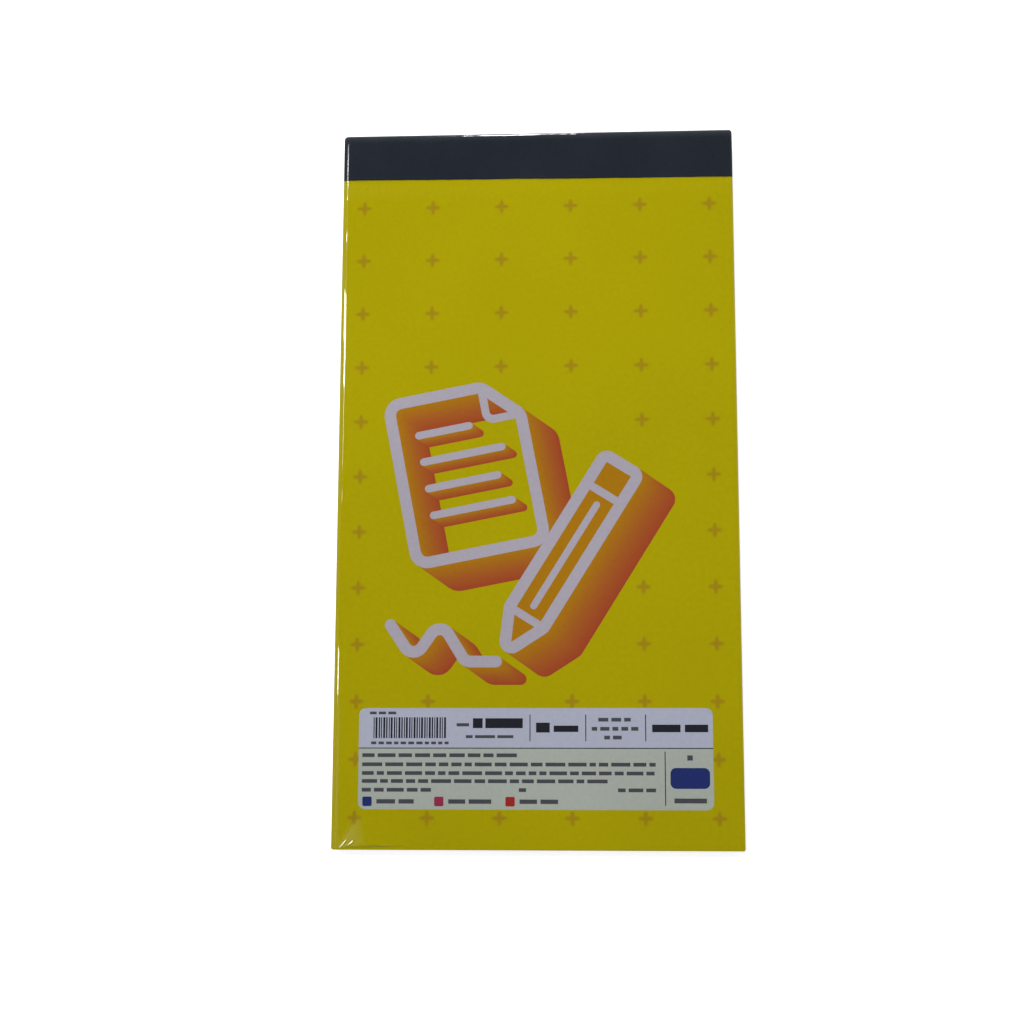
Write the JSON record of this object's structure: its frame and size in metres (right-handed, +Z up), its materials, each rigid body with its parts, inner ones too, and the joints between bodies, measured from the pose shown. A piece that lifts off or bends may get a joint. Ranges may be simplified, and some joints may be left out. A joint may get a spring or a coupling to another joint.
{
  "type": "writing pad",
  "caption": "Narrow top-bound writing pad: ruled sheets on a grey board, a glossy yellow card cover that folds open at the head, and a dark binding tape round the head.",
  "frame": {"origin": "middle of the pad's outline, on the surface that its back rests on", "axes": "+Y along the pad's length towards the bound head, +X across its width to the right as the cover is read, +Z up out of the front cover"},
  "size_m": [0.105, 0.19, 0.0046],
  "materials": {
    "grey_board": "matt grey board",
    "sheets": "uncoated writing paper",
    "cover_card": "printed card, gloss varnish",
    "tape": "smooth dark binding tape, satin gloss",
    "stitch_wire": "galvanised stitching wire"
  },
  "bodies": {
    "pad": {"back_board": "grey_board", "page_block": "sheets", "cover_margin": "cover_card", "binding_tape": "tape", "stitch_left": "stitch_wire", "stitch_right": "stitch_wire"},
    "cover": {"front_cover": "cover_card"}
  },
  "joints": [
    {"name": "cover_hinge", "type": "hinge", "parent": "pad", "child": "cover", "pos_m": [0, 0.0815, 0.00466], "axis": [-1, 0, 0], "range_deg": [0, 180]}
  ]
}
